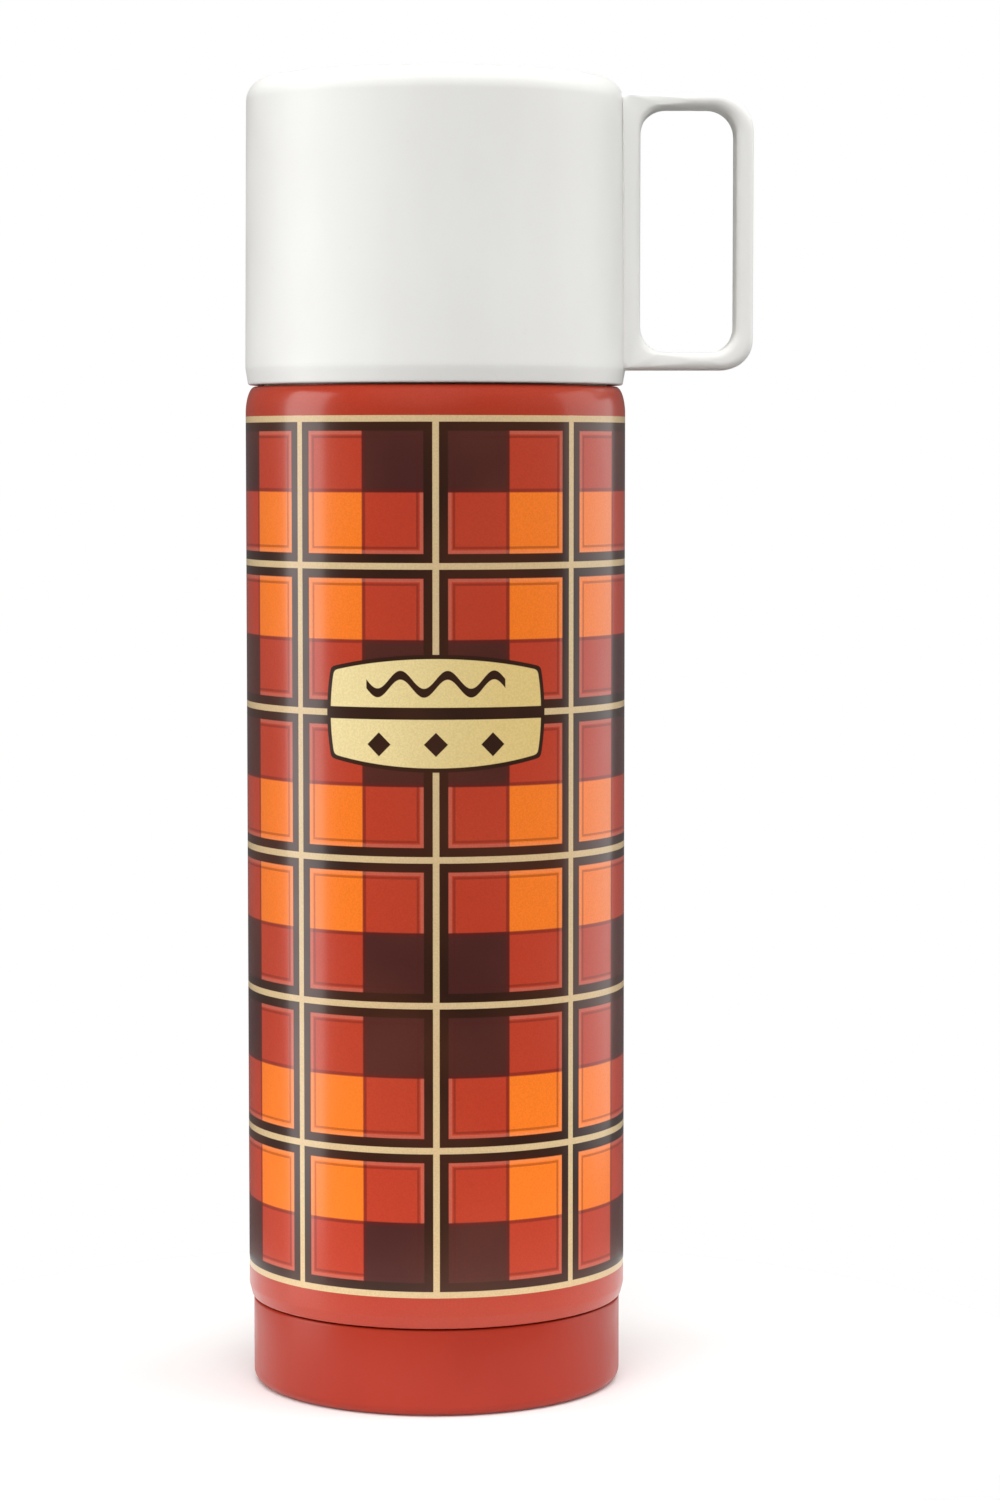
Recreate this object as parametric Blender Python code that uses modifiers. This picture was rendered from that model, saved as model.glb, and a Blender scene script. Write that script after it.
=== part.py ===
"""A half-litre vacuum flask: plaid steel case, screw-on handled cup, threaded stopper, glass filler.

Standalone Blender 4.5 script. The scene is in metres with +Z up. The sizes below are in
millimetres, and they are turned into metres where a mesh is made. The origin is on the flask's
axis, on the table, and the cup's handle points along +X. All three threads are right-handed, and
each pair is in its screwed-home position.
"""

import math

import bmesh
import bpy
from mathutils import Matrix

MM = 0.001
SEGMENTS = 32  # facets round every turned piece
MERGE = 0.00001  # metres
GAP = 0.3  # clearance between neighbouring pieces

# --- Driving dimensions, in millimetres -----------------------------------------------------------
CASE_R = 37.5
CASE_WALL = 0.5
CASE_BOTTOM_Z = 17.3
CASE_SHOULDER_Z = 192.6  # where the straight side starts to round over
CASE_TOP_Z = 198.0
CASE_MOUTH_R = 35.1

BASE_R = 36.6
BASE_TOP_Z = 17.0
BASE_FLOOR_Z = 2.6
SPIGOT_R = 34.4
SPIGOT_BORE_R = 32.9
SPIGOT_TOP_Z = 27.0
BASE_RING_R = 36.7
BASE_RING_BORE_R = 35.9
BASE_RING_SPAN = (19.6, 28.8)

GLASS_WALL = 1.2
OUTER_GLASS_R = 35.3
OUTER_NECK_R = 20.6
OUTER_GLASS_BOTTOM_Z = 12.0
INNER_GLASS_R = 32.2
INNER_NECK_R = 18.4
INNER_GLASS_BOTTOM_Z = 16.5
DOME_Z = 44.0  # the straight side runs from here
SHOULDER_Z = 158.0  # to here
NECK_Z = 182.0
GLASS_LIP_Z = 191.2

COLLAR_R = 33.8
COLLAR_BORE_R = 22.0
COLLAR_SLEEVE_R = 23.9
COLLAR_LIP_Z = 213.2
COLLAR_DECK_Z = 209.6
COLLAR_LEDGE_Z = 194.2  # the stopper's gasket sits on it
COLLAR_BOTTOM_Z = 192.6

STOPPER_R = 20.4
PLUG_R = 16.6
STOPPER_BOTTOM_Z = 184.0
STOPPER_SHOULDER_Z = 197.0
STOPPER_RIM_Z = 211.8
STOPPER_TOP_Z = 221.5
LID_R = 23.4
LID_FLUTES = 10

CUP_R = 37.5
CUP_WALL = 1.8
CUP_RIM_Z = 198.3
CUP_TOP_Z = 258.0
CUP_CORNER_R = 4.3
CUP_DRAFT = 0.4  # the shell is this much narrower at its closed end
CUP_BORE_R = 35.5
CUP_THREAD_TOP_Z = 210.4
LINER_R = 34.0
LINER_WALL = 1.4
LINER_RIM_Z = 211.9
LINER_TOP_Z = 254.9

HANDLE_DEPTH = 12.0
HANDLE_EASE = 1.3
HANDLE_X = (36.3, 62.4)
HANDLE_Z = (201.3, 255.1)
HANDLE_OUTER_RADII = (5.8, 7.4)  # bottom and top corner
FINGER_GAP_X = (40.2, 59.0)
FINGER_GAP_Z = (204.7, 252.5)
FINGER_GAP_RADII = (5.0, 4.2)

# Each thread is (lead, starts, turns, ridge height, ridge width, z where the fixed ridge starts).
# The two halves of a pair are half a pitch apart, so their ridges interleave with play on both sides.
CUP_THREAD = (8.0, 2, 0.7, 1.15, 1.9, 200.4)
STOPPER_THREAD = (8.0, 2, 0.7, 1.0, 1.9, 199.0)
BASE_THREAD = (6.0, 2, 0.6, 1.1, 1.3, 20.6)

# --- Scene, material and mesh helpers -------------------------------------------------------------


def clear_scene():
    for obj in list(bpy.data.objects):
        bpy.data.objects.remove(obj, do_unlink=True)


def collection(name):
    made = bpy.data.collections.new(name)
    bpy.context.scene.collection.children.link(made)
    return made


def material(name, colour, roughness, metallic=0.0):
    made = bpy.data.materials.new(name)
    made.use_nodes = True
    shader = made.node_tree.nodes["Principled BSDF"]
    shader.inputs["Base Color"].default_value = (*colour, 1.0)
    shader.inputs["Roughness"].default_value = roughness
    shader.inputs["Metallic"].default_value = metallic
    made.diffuse_color = (*colour, 1.0)
    return made


def add_part(name, mesh, finish):
    obj = bpy.data.objects.new(name, mesh)
    mesh.materials.append(finish)
    PARTS.objects.link(obj)
    return obj


def add_helper(name, data):
    """A cutter, or a shape that is joined to a part: it is drawn as a wire and isn't rendered."""
    obj = bpy.data.objects.new(name, data)
    obj.hide_render = True
    obj.display_type = "WIRE"
    HELPERS.objects.link(obj)
    return obj


def mesh_from(bm, name):
    bmesh.ops.recalc_face_normals(bm, faces=bm.faces[:])
    mesh = bpy.data.meshes.new(name)
    bm.to_mesh(mesh)
    bm.free()
    return mesh


def turned(name, profile, finish, ring=False):
    """A turned solid. Its (radius, z) profile runs down the outer side; a ring's closes on itself."""
    bm = bmesh.new()
    points = [bm.verts.new((radius * MM, 0.0, z * MM)) for radius, z in profile]
    for start, end in zip(points, points[1:] + points[:1] if ring else points[1:]):
        bm.edges.new((start, end))
    mesh = bpy.data.meshes.new(name)
    bm.to_mesh(mesh)
    bm.free()
    obj = add_part(name, mesh, finish)
    screw = obj.modifiers.new("Turn", "SCREW")
    screw.axis = "Z"
    screw.angle = math.tau
    screw.steps = SEGMENTS
    screw.render_steps = SEGMENTS
    screw.use_merge_vertices = True
    screw.merge_threshold = MERGE
    return obj


def boolean(obj, operation, other):
    modifier = obj.modifiers.new(operation.title(), "BOOLEAN")
    modifier.operation = operation
    modifier.object = other
    modifier.solver = "EXACT"


def arc(centre, radii, start, end, steps):
    """Points on an ellipse in (radius, z), between two angles in degrees, both ends included."""
    points = []
    for i in range(steps + 1):
        angle = math.radians(start + (end - start) * i / steps)
        points.append((centre[0] + radii[0] * math.cos(angle), centre[1] + radii[1] * math.sin(angle)))
    return points


def apply_and_smooth(obj):
    """Apply the modifiers, and shade the round faces smooth and the edges between them sharp."""
    evaluated = obj.evaluated_get(bpy.context.evaluated_depsgraph_get())
    mesh = bpy.data.meshes.new_from_object(evaluated)
    mesh.shade_smooth()
    mesh.set_sharp_from_angle(angle=math.radians(28))
    obj.modifiers.clear()
    obj.data = mesh


# --- Threads --------------------------------------------------------------------------------------


def thread_ridges(name, wall_r, thread, inward=False, mating=False):
    """Helical ridges on a wall of radius wall_r, one for each start, that fade out at both ends.

    They are right-handed: z rises by the lead in one turn anticlockwise, seen from above.
    """
    lead, starts, turns, ridge, width, z_start = thread
    side = -1.0 if inward else 1.0
    sunk = wall_r - side * 0.5
    steps = round(turns * SEGMENTS)
    if mating:
        z_start += lead / starts / 2
    bm = bmesh.new()
    for start in range(starts):
        sections = []
        for i in range(steps + 1):
            turn = i / SEGMENTS
            angle = math.tau * (turn + start / starts)
            z = z_start + lead * turn
            fade = min(1.0, 0.15 + i / 4, 0.15 + (steps - i) / 4)
            crest = wall_r + side * ridge * fade
            corners = [(sunk, -0.5), (crest, -0.26), (crest, 0.26), (sunk, 0.5)]
            section = []
            for radius, share in corners:
                reach = radius * MM
                height = (z + share * width) * MM
                section.append(bm.verts.new((reach * math.cos(angle), reach * math.sin(angle), height)))
            sections.append(section)
        for first, second in zip(sections, sections[1:]):
            for k in range(4):
                bm.faces.new((first[k], first[(k + 1) % 4], second[(k + 1) % 4], second[k]))
        bm.faces.new(sections[0])
        bm.faces.new(sections[-1])
    return add_helper(name, mesh_from(bm, name))


# --- Case and base --------------------------------------------------------------------------------


def build_case(finish):
    """The steel tube: its shoulder is rounded over, and its foot is turned in a little."""
    inner_r = CASE_R - CASE_WALL
    centre = (CASE_R - 1.9, CASE_SHOULDER_Z)
    rise = CASE_TOP_Z - CASE_SHOULDER_Z
    outside = arc(centre, (CASE_R - centre[0], rise), 90, 0, 5)
    inside = arc(centre, (inner_r - centre[0], rise - CASE_WALL), 0, 90, 4)
    mouth_inside = (CASE_MOUTH_R, CASE_TOP_Z - CASE_WALL)
    foot_low = [(36.8, CASE_BOTTOM_Z), (36.3, CASE_BOTTOM_Z)]
    foot = [(CASE_R, 19.2), (37.2, 17.8), *foot_low, (36.3, 17.8), (inner_r, 19.2)]
    profile = [(CASE_MOUTH_R, CASE_TOP_Z), *outside, *foot, *inside, mouth_inside]
    turned("outer_case", profile, finish, ring=True)


def build_base_ring(finish):
    """The ring fixed inside the foot of the case, with the thread that the base screws into."""
    low, high = BASE_RING_SPAN
    profile = [(BASE_RING_R, high), (BASE_RING_R, low), (BASE_RING_BORE_R, low), (BASE_RING_BORE_R, high)]
    ring = turned("case_base_ring", profile, finish, ring=True)
    boolean(ring, "UNION", thread_ridges("base_ring_ridges", BASE_RING_BORE_R, BASE_THREAD, inward=True))


def build_base(finish):
    """The moulded base cup: a foot ring, a ledge under the case and a threaded spigot."""
    inside = [(0, BASE_FLOOR_Z), (32.2, BASE_FLOOR_Z), (34.8, 5.0), (34.8, 14.6), (SPIGOT_BORE_R, 16.4)]
    spigot = [(SPIGOT_BORE_R, SPIGOT_TOP_Z), (SPIGOT_R, SPIGOT_TOP_Z), (SPIGOT_R, BASE_TOP_Z)]
    side = [(BASE_R, BASE_TOP_Z), (BASE_R, 2.2), (36.1, 0.7), (35.1, 0.0)]
    underside = [(31.0, 0.0), (30.4, 0.8), (24.6, 0.8), (24.0, 0.0), (0, 0.0)]
    base = turned("base_cup", inside + spigot + side + underside, finish)
    boolean(base, "UNION", thread_ridges("base_ridges", SPIGOT_R, BASE_THREAD, mating=True))


def build_cushion(finish):
    """The rubber cradle in the base that takes the weight of the filler's dome."""
    play = 2 * GAP
    radii = (OUTER_GLASS_R + play, DOME_Z - OUTER_GLASS_BOTTOM_Z + play)
    cradle = arc((0, DOME_Z), radii, -66, -40, 4)
    outer_r, bottom_z = 29.6, BASE_FLOOR_Z + GAP
    profile = [(outer_r, cradle[-1][1]), (outer_r, bottom_z), (cradle[0][0], bottom_z), *cradle]
    turned("base_cushion", profile, finish, ring=True)


# --- Glass filler ---------------------------------------------------------------------------------


def glass_side(body_r, neck_r, bottom_z):
    """One face of a glass wall, from the neck down to the middle of the dome."""
    shoulder = arc((neck_r, SHOULDER_Z), (body_r - neck_r, NECK_Z - SHOULDER_Z), 90, 0, 4)
    dome = arc((0, DOME_Z), (body_r, DOME_Z - bottom_z), 0, -90, 5)
    return shoulder + dome[:-1] + [(0, bottom_z)]


def glass_inside(body_r, neck_r, bottom_z):
    return glass_side(body_r - GLASS_WALL, neck_r - GLASS_WALL, bottom_z + GLASS_WALL)[::-1]


def build_inner_glass(finish):
    """The bottle that holds the drink, with the rolled lip of the filler."""
    shape = (INNER_GLASS_R, INNER_NECK_R, INNER_GLASS_BOTTOM_Z)
    mouth_r, lip_r = INNER_NECK_R - GLASS_WALL, INNER_NECK_R + 2.0
    inner_lip = [(mouth_r, GLASS_LIP_Z - 0.6), (mouth_r + 0.6, GLASS_LIP_Z)]
    outer_lip = [(lip_r, GLASS_LIP_Z), (lip_r, 190.1), (INNER_NECK_R, 188.2)]
    turned("filler_inner_glass", glass_inside(*shape) + inner_lip + outer_lip + glass_side(*shape), finish)


def build_outer_glass(finish):
    """The outer wall, drawn out at the bottom into the sealed-off tip."""
    shape = (OUTER_GLASS_R, OUTER_NECK_R, OUTER_GLASS_BOTTOM_Z)
    neck_top = [(OUTER_NECK_R - GLASS_WALL, 188.6), (OUTER_NECK_R, 188.6)]
    tip = [(3.0, OUTER_GLASS_BOTTOM_Z), (2.4, 8.4), (1.0, 6.0), (0, 5.8)]
    turned("filler_outer_glass", glass_inside(*shape) + neck_top + glass_side(*shape)[:-1] + tip, finish)


def build_spacer_pads(finish):
    """Three fibre pads that hold the two glass walls apart."""
    pad_r, thickness, height = 3.5, 0.9, 56.0
    middle_r = (INNER_GLASS_R + OUTER_GLASS_R - GLASS_WALL) / 2
    for i in range(3):
        bm = bmesh.new()
        bmesh.ops.create_cone(
            bm, cap_ends=True, segments=16, radius1=pad_r * MM, radius2=pad_r * MM, depth=thickness * MM
        )
        name = f"spacer_pad_{i + 1}"
        pad = add_part(name, mesh_from(bm, name), finish)
        turn = Matrix.Rotation(math.tau * (i + 0.5) / 3, 4, "Z")
        upright = Matrix.Rotation(math.pi / 2, 4, "Y")
        pad.matrix_world = turn @ Matrix.Translation((middle_r * MM, 0, height * MM)) @ upright


def build_tip_guard(finish):
    """The rubber thimble over the sealed-off tip."""
    profile = [(0, 5.3), (3.2, 5.3), (3.7, 9.8), (6.0, 9.8), (6.2, 3.6), (5.6, 3.0), (0, 3.0)]
    turned("tip_guard", profile, finish)


def build_centring_ring(finish):
    """The soft ring that centres the filler's shoulder in the case."""
    play = 0.5
    radii = (OUTER_GLASS_R - OUTER_NECK_R + play, NECK_Z - SHOULDER_Z + play)
    seat = arc((OUTER_NECK_R, SHOULDER_Z), radii, 22, 62, 4)
    outer_r = 36.6
    turned("centring_ring", [(outer_r, seat[-1][1]), (outer_r, seat[0][1]), *seat], finish, ring=True)


# --- Collar and its seals -------------------------------------------------------------------------


def build_collar(finish):
    """The moulded neck: cup thread outside, stopper thread inside, pouring lip on top."""
    lip = [(22.7, COLLAR_LIP_Z), (24.1, COLLAR_LIP_Z), (25.0, COLLAR_DECK_Z)]
    outside = [(COLLAR_R - 1.2, COLLAR_DECK_Z), (COLLAR_R, 208.6), (COLLAR_R, 195.8)]
    flange = [(36.1, 194.6), (36.6, 193.4), (36.6, 191.8)]
    hollow = [(32.0, 191.8), (32.0, 208.0), (COLLAR_SLEEVE_R, 208.0), (COLLAR_SLEEVE_R, COLLAR_BOTTOM_Z)]
    mouth_r = 18.6
    ledge = [(mouth_r, COLLAR_BOTTOM_Z), (mouth_r, COLLAR_LEDGE_Z), (COLLAR_BORE_R, COLLAR_LEDGE_Z)]
    bore_top = [(COLLAR_BORE_R, 212.5)]
    collar = turned("collar", lip + outside + flange + hollow + ledge + bore_top, finish, ring=True)
    boolean(collar, "UNION", thread_ridges("collar_outer_ridges", COLLAR_R, CUP_THREAD))
    inner_ridges = thread_ridges("collar_inner_ridges", COLLAR_BORE_R, STOPPER_THREAD, inward=True)
    boolean(collar, "UNION", inner_ridges)


def build_collar_seal(finish):
    """The thin ring that seals the collar against the mouth of the case."""
    turned("collar_seal", [(35.0, 197.1), (36.0, 195.6), (34.4, 196.0), (34.1, 197.1)], finish, ring=True)


def build_neck_gasket(finish):
    """The rubber ring that caps the filler's lip under the collar."""
    top, under = COLLAR_BOTTOM_Z - GAP, GLASS_LIP_Z + GAP
    skirt_bottom, skirt_r = 186.0, OUTER_NECK_R + GAP
    inner_r, outer_r = 17.5, 23.0
    profile = [(outer_r, top), (outer_r, skirt_bottom), (skirt_r, skirt_bottom), (skirt_r, under)]
    turned("neck_gasket", profile + [(inner_r, under), (inner_r, top)], finish, ring=True)


# --- Stopper --------------------------------------------------------------------------------------


def build_stopper_shell(finish):
    """The threaded tube with its narrower plug, grooved so that the drink can pass when it is slack."""
    plug_bore, rim_bore = PLUG_R - 1.7, STOPPER_R - 1.8
    plug_inside = [(0, 185.6), (plug_bore, 185.6), (plug_bore, 197.8)]
    inside = [*plug_inside, (rim_bore, 198.6), (rim_bore, STOPPER_RIM_Z)]
    outside = [(STOPPER_R, STOPPER_RIM_Z), (STOPPER_R, STOPPER_SHOULDER_Z), (PLUG_R, STOPPER_SHOULDER_Z)]
    bottom = [(PLUG_R, STOPPER_BOTTOM_Z + 1.0), (PLUG_R - 1.0, STOPPER_BOTTOM_Z), (0, STOPPER_BOTTOM_Z)]
    shell = turned("stopper_shell", inside + outside + bottom, finish)
    boolean(shell, "UNION", thread_ridges("stopper_ridges", STOPPER_R, STOPPER_THREAD, mating=True))
    boolean(shell, "DIFFERENCE", pour_grooves())


def pour_grooves():
    """Two shallow slots down opposite sides of the stopper's thread."""
    depth, width, height = 1.0, 5.0, 16.0
    bm = bmesh.new()
    for side in (1, -1):
        box = bmesh.ops.create_cube(bm, size=1.0)["verts"]
        bmesh.ops.scale(bm, verts=box, vec=(width * MM, 4 * depth * MM, height * MM))
        bmesh.ops.translate(bm, verts=box, vec=(0, side * (STOPPER_R + depth) * MM, 203.5 * MM))
    return add_helper("pour_grooves", mesh_from(bm, "pour_grooves"))


def build_stopper_lid(finish):
    """The finger grip, plugged into the top of the shell and fluted round its rim."""
    crown = [(0, STOPPER_TOP_Z), (18.6, STOPPER_TOP_Z), (22.0, STOPPER_TOP_Z - 1.0), (LID_R - 0.2, 218.6)]
    under = [(LID_R, 213.9), (STOPPER_R, 213.9), (STOPPER_R, STOPPER_RIM_Z + GAP)]
    plug_r = STOPPER_R - 1.8 - GAP
    plug = [(plug_r, STOPPER_RIM_Z + GAP), (plug_r, 209.0), (plug_r - 1.7, 209.0)]
    socket = [(plug_r - 1.7, 218.0), (15.6, 219.2), (0, 219.2)]
    lid = turned("stopper_lid", crown + under + plug + socket, finish)
    boolean(lid, "DIFFERENCE", finger_flutes())


def finger_flutes():
    """Upright cylinders that scallop the rim of the lid, and leave a flange below them."""
    flute_r, bite = 3.2, 1.3
    reach = LID_R + flute_r - bite
    bm = bmesh.new()
    for i in range(LID_FLUTES):
        angle = math.tau * (i + 0.5) / LID_FLUTES
        flute = bmesh.ops.create_cone(
            bm, cap_ends=True, segments=12, radius1=flute_r * MM, radius2=flute_r * MM, depth=12.0 * MM
        )["verts"]
        centre = (reach * math.cos(angle) * MM, reach * math.sin(angle) * MM, 221.4 * MM)
        bmesh.ops.translate(bm, verts=flute, vec=centre)
    return add_helper("finger_flutes", mesh_from(bm, "finger_flutes"))


def build_stopper_insulation(finish):
    profile = [(0, 217.6), (16.2, 217.6), (16.2, 199.4), (14.5, 198.0), (14.5, 186.0), (0, 186.0)]
    turned("stopper_insulation", profile, finish)


def build_stopper_gasket(finish):
    top, bottom = STOPPER_SHOULDER_Z - GAP, COLLAR_LEDGE_Z + GAP
    inner_r, outer_r = PLUG_R + GAP, STOPPER_R - 0.4
    profile = [(outer_r, top), (outer_r, bottom), (inner_r, bottom), (inner_r, top)]
    turned("stopper_gasket", profile, finish, ring=True)


# --- Cup ------------------------------------------------------------------------------------------


def rounded_outline(x_span, z_span, bottom_radii, top_radii, steps=4):
    """A rectangle in (x, z), anticlockwise, with a radius at each corner, left then right; 0 is sharp."""
    (left, right), (bottom, top) = x_span, z_span
    corners = [
        (left, bottom, 180, bottom_radii[0]),
        (right, bottom, 270, bottom_radii[1]),
        (right, top, 0, top_radii[1]),
        (left, top, 90, top_radii[0]),
    ]
    points = []
    for x, z, start, radius in corners:
        centre = (x + radius if x == left else x - radius, z + radius if z == bottom else z - radius)
        points += arc(centre, (radius, radius), start, start + 90, steps) if radius else [(x, z)]
    return points


def handle_body():
    """The loop handle: a flat outline in the XZ plane, thickened along Y, with eased edges."""
    low_r, high_r = HANDLE_OUTER_RADII
    outer = rounded_outline(HANDLE_X, HANDLE_Z, (0, low_r), (0, high_r))
    low_gap_r, high_gap_r = FINGER_GAP_RADII
    gap = rounded_outline(FINGER_GAP_X, FINGER_GAP_Z, (low_gap_r, low_gap_r), (high_gap_r, high_gap_r))
    curve = bpy.data.curves.new("handle_outline", "CURVE")
    curve.dimensions = "2D"
    curve.fill_mode = "BOTH"
    curve.extrude = HANDLE_DEPTH / 2 * MM
    for outline in (outer, gap):
        spline = curve.splines.new("POLY")
        spline.points.add(len(outline) - 1)
        for point, (x, z) in zip(spline.points, outline):
            point.co = (x * MM, z * MM, 0, 1)
        spline.use_cyclic_u = True
    drawn = add_helper("handle_outline", curve)
    drawn.matrix_world = Matrix.Rotation(math.pi / 2, 4, "X")
    bpy.context.view_layer.update()
    evaluated = drawn.evaluated_get(bpy.context.evaluated_depsgraph_get())
    bm = bmesh.new()
    bm.from_mesh(bpy.data.meshes.new_from_object(evaluated))
    bmesh.ops.remove_doubles(bm, verts=bm.verts[:], dist=MERGE)
    handle = add_helper("handle_body", mesh_from(bm, "handle_body"))
    handle.matrix_world = drawn.matrix_world.copy()
    bpy.data.objects.remove(drawn)
    ease = handle.modifiers.new("Eased edges", "BEVEL")
    ease.width = HANDLE_EASE * MM
    ease.segments = 2
    ease.limit_method = "ANGLE"
    ease.angle_limit = math.radians(60)
    return handle


def build_cup_shell(finish):
    """The moulded shell: a shallow foot recess on top, the handle, and the thread inside its rim."""
    corner_centre = (CUP_R - CUP_DRAFT - CUP_CORNER_R, CUP_TOP_Z - CUP_CORNER_R)
    foot = [(0, CUP_TOP_Z - 0.9), (27.4, CUP_TOP_Z - 0.9), (28.4, CUP_TOP_Z)]
    outside = arc(corner_centre, (CUP_CORNER_R, CUP_CORNER_R), 90, 0, 4)
    rim_outside = [(CUP_R, CUP_RIM_Z + 0.8), (CUP_R - 0.5, CUP_RIM_Z)]
    rim = [*rim_outside, (35.9, CUP_RIM_Z), (CUP_BORE_R, CUP_RIM_Z + 0.6)]
    inner_r = CUP_R - CUP_WALL
    step = [(CUP_BORE_R, CUP_THREAD_TOP_Z), (inner_r, CUP_THREAD_TOP_Z + 0.6)]
    inner_corner_r = CUP_CORNER_R - 1.0
    inner_centre = (inner_r - inner_corner_r, CUP_TOP_Z - 2.4 - inner_corner_r)
    inside = arc(inner_centre, (inner_corner_r, inner_corner_r), 0, 90, 3)
    top_inside = (0, CUP_TOP_Z - 2.4)
    shell = turned("cup_shell", [*foot, *outside, *rim, *step, *inside, top_inside], finish)
    boolean(shell, "UNION", handle_body())
    boolean(shell, "UNION", thread_ridges("cup_ridges", CUP_BORE_R, CUP_THREAD, inward=True, mating=True))


def build_cup_liner(finish):
    """The inner wall of the cup: an open beaker with a flange that meets the shell above its thread."""
    corner_r = 2.4
    centre = (LINER_R - corner_r, LINER_TOP_Z - corner_r)
    outside = arc(centre, (corner_r, corner_r), 90, 0, 3)
    flange = [(LINER_R, 214.6), (CUP_R - CUP_WALL - 0.4, 213.4), (CUP_R - CUP_WALL - 0.4, LINER_RIM_Z)]
    inner_r, inner_corner_r = LINER_R - LINER_WALL, corner_r - LINER_WALL
    rim = [(inner_r + 0.8, LINER_RIM_Z), (inner_r, 213.0)]
    inside = arc(centre, (inner_corner_r, inner_corner_r), 0, 90, 3)
    axis_ends = (0, LINER_TOP_Z), (0, LINER_TOP_Z - LINER_WALL)
    turned("cup_liner", [axis_ends[0], *outside, *flange, *rim, *inside, axis_ends[1]], finish)


def build_cup_gasket(finish):
    """The flat ring on the collar's deck that the cup's rim presses on."""
    top, bottom = LINER_RIM_Z - GAP, COLLAR_DECK_Z + GAP
    turned("cup_gasket", [(33.9, top), (33.9, bottom), (27.0, bottom), (27.0, top)], finish, ring=True)


clear_scene()
PARTS = collection("vacuum_flask")
HELPERS = collection("cutters")

plaid_steel = material("plaid_printed_steel", (0.48, 0.055, 0.025), 0.28)
red_plastic = material("red_moulded_plastic", (0.46, 0.045, 0.022), 0.35)
white_plastic = material("white_moulded_plastic", (0.80, 0.80, 0.76), 0.30)
ivory_plastic = material("ivory_moulded_plastic", (0.74, 0.68, 0.54), 0.38)
plated_steel = material("plated_steel", (0.55, 0.55, 0.56), 0.35, 1.0)
silvered_glass = material("silvered_glass", (0.85, 0.87, 0.88), 0.05, 1.0)
black_rubber = material("black_rubber", (0.03, 0.03, 0.03), 0.75)
grey_rubber = material("grey_rubber", (0.22, 0.22, 0.21), 0.7)
white_foam = material("white_foam", (0.82, 0.80, 0.74), 0.95)
mineral_fibre = material("mineral_fibre", (0.62, 0.60, 0.55), 0.95)

build_case(plaid_steel)
build_base_ring(plated_steel)
build_base(red_plastic)
build_cushion(black_rubber)
build_inner_glass(silvered_glass)
build_outer_glass(silvered_glass)
build_spacer_pads(mineral_fibre)
build_tip_guard(black_rubber)
build_centring_ring(white_foam)
build_collar(ivory_plastic)
build_collar_seal(grey_rubber)
build_neck_gasket(black_rubber)
build_stopper_shell(red_plastic)
build_stopper_lid(red_plastic)
build_stopper_insulation(white_foam)
build_stopper_gasket(black_rubber)
build_cup_shell(white_plastic)
build_cup_liner(white_plastic)
build_cup_gasket(grey_rubber)

bpy.context.view_layer.update()
for part in list(PARTS.objects):
    apply_and_smooth(part)
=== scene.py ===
"""The looks of the vacuum flask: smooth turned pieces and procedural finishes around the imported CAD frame.

Lengths are in millimetres, and they are turned into metres where a mesh or a node is made. The
flask's axis is Z, the table is z = 0, and the cup's handle points along +X.
"""

import math

import bmesh
import bpy
from mathutils import Matrix, Vector


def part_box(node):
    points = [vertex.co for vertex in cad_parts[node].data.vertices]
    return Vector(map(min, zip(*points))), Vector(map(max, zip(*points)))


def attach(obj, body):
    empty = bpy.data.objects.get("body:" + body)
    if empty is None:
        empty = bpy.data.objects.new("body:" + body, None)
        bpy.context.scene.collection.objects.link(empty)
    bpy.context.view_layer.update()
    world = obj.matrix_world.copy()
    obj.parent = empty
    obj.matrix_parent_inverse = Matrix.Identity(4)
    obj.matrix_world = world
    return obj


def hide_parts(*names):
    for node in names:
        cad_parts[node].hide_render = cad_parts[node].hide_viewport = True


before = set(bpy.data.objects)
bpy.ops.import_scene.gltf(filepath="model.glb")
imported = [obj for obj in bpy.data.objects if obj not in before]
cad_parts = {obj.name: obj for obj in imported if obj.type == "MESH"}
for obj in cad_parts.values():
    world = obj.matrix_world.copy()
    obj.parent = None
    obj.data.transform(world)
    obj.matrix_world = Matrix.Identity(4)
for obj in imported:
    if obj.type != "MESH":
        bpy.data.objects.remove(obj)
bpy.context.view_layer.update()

MM = 0.001  # metres
SEGMENTS = 192  # quads round a turned piece
FINE_STEP = 0.25  # between rings where a thread or a groove is cut


def extent(node):
    """A CAD node's largest radius, lowest z and highest z."""
    low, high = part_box(node)
    return high.y / MM, low.z / MM, high.z / MM


CASE_R, CASE_LOW, CASE_TOP = extent("outer_case")
BASE_R, _, SPIGOT_TOP = extent("base_cup")
CUP_R, CUP_RIM, CUP_TOP = extent("cup_shell")
LID_R = extent("stopper_lid")[0]
HANDLE_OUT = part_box("cup_shell")[1].x / MM

# Each thread is (lead, starts, turns, ridge height, ridge width, z where the fixed ridge starts).
CUP_THREAD = (8.0, 2, 0.7, 1.0, 1.9, 200.4)
STOPPER_THREAD = (8.0, 2, 0.7, 0.9, 1.9, 199.0)
BASE_THREAD = (6.0, 2, 0.6, 0.95, 1.3, 20.6)

# --- Turned pieces --------------------------------------------------------------------------------


def ellipse(centre, radii, start, end, steps=14):
    """Corners along an ellipse in (radius, z), between two angles in degrees."""
    corners = []
    for i in range(steps + 1):
        angle = math.radians(start + (end - start) * i / steps)
        corners.append((centre[0] + radii[0] * math.cos(angle), centre[1] + radii[1] * math.sin(angle)))
    return corners


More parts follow.
